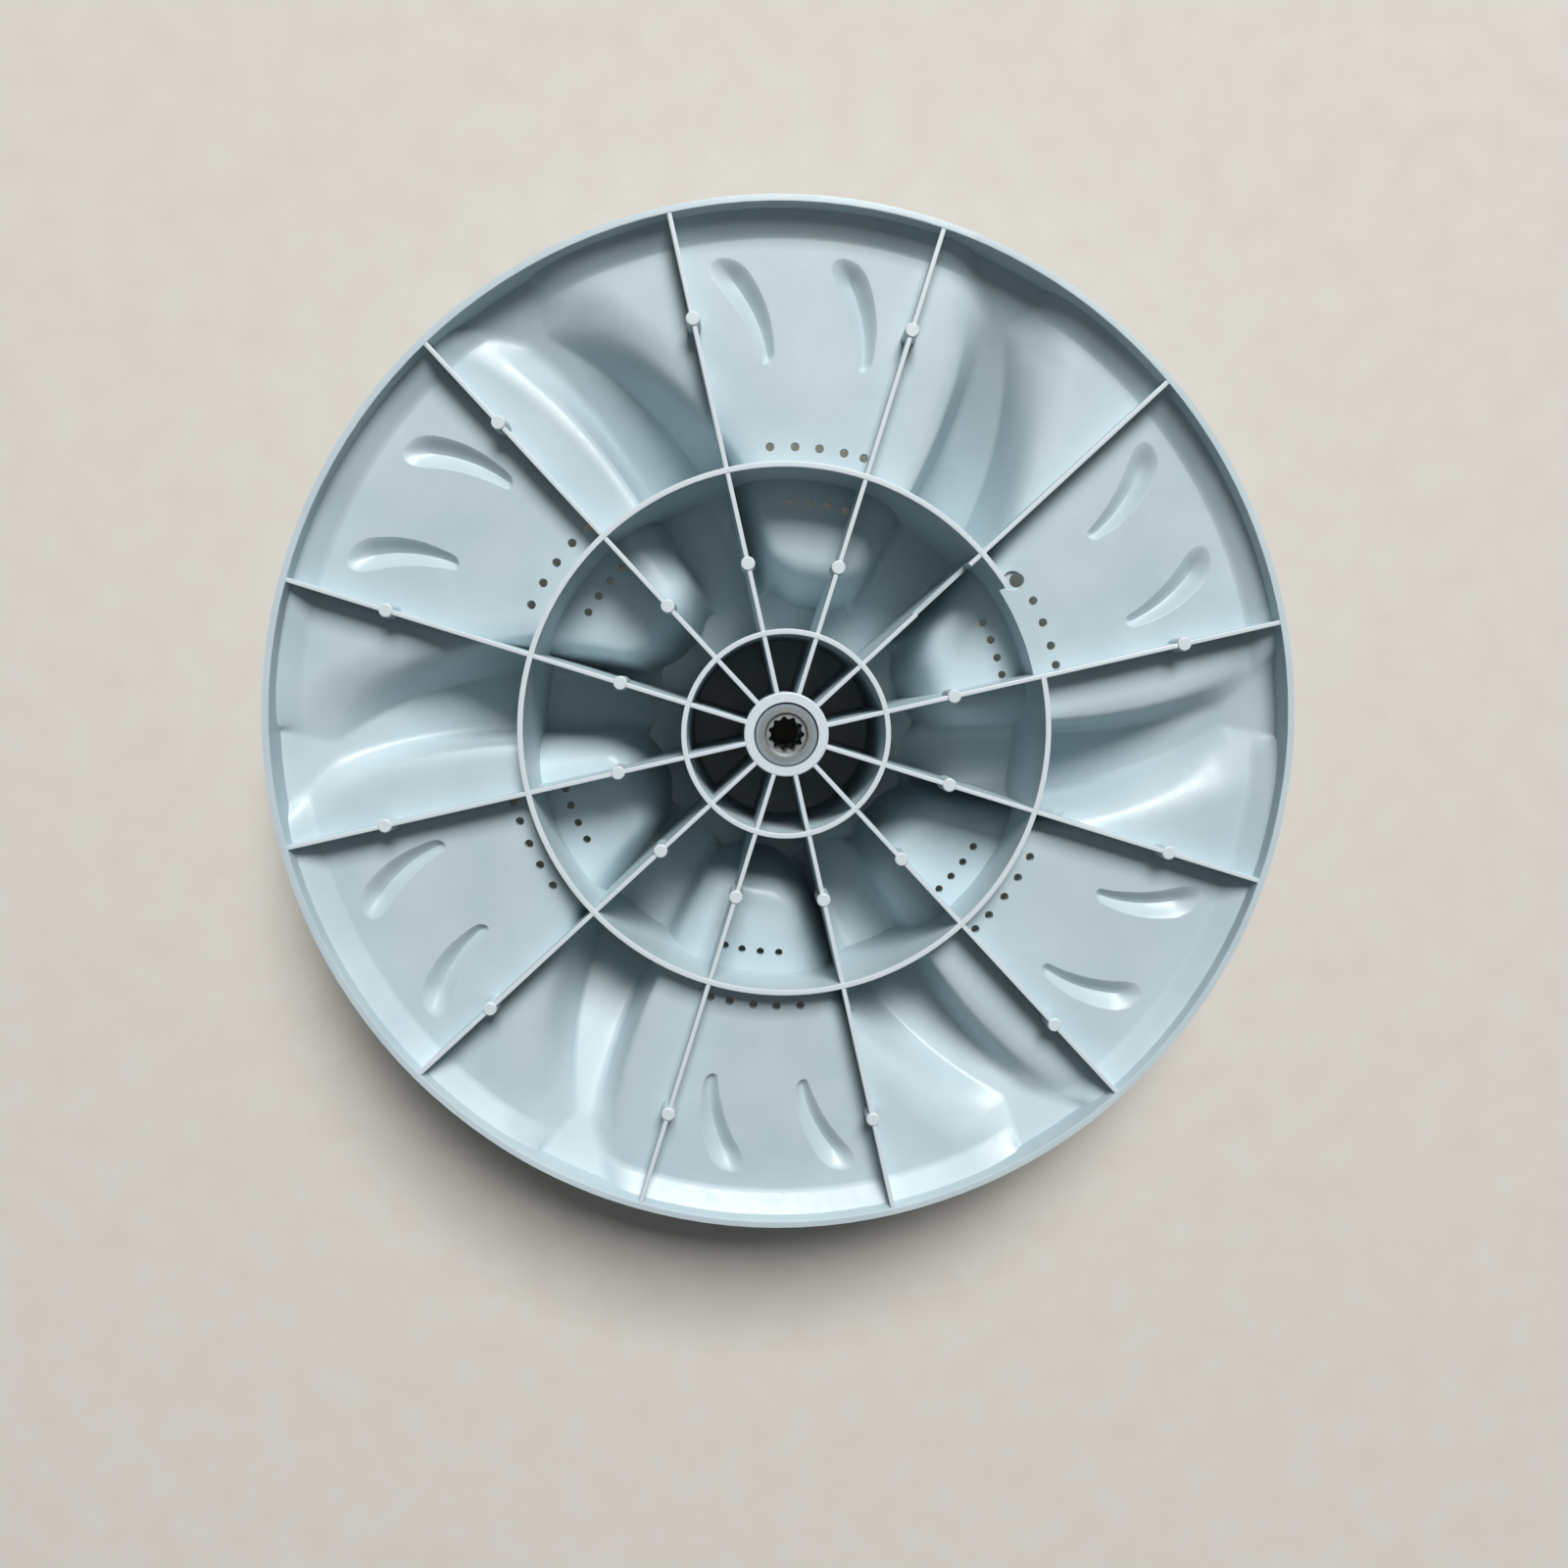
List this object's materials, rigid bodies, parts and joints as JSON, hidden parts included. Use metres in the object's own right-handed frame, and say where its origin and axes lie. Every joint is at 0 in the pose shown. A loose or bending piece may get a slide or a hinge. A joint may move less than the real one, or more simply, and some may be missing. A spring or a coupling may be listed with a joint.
{
  "type": "washing machine pulsator",
  "caption": "Round finned pulsator for a top-loading washing machine, shown from its ribbed underside, with a splined metal bush in the hub.",
  "frame": {"origin": "on the centre line of the hub, at the level of the dome's outer face, which is the lowest face", "axes": "+Z along the hub's centre line, out of the ribbed underside where the gearbox shaft goes in; +X and +Y across the disc, 17.3 degrees from the rib that ends beside the first land"},
  "size_m": [0.375, 0.375, 0.0661],
  "materials": {
    "moulded_polypropylene": "satin moulding, pale blue grey",
    "sintered_steel": "dull grey sintered face, bare metal"
  },
  "bodies": {
    "root": {"pulsator_body": "moulded_polypropylene", "spline_insert": "sintered_steel"}
  },
  "joints": []
}
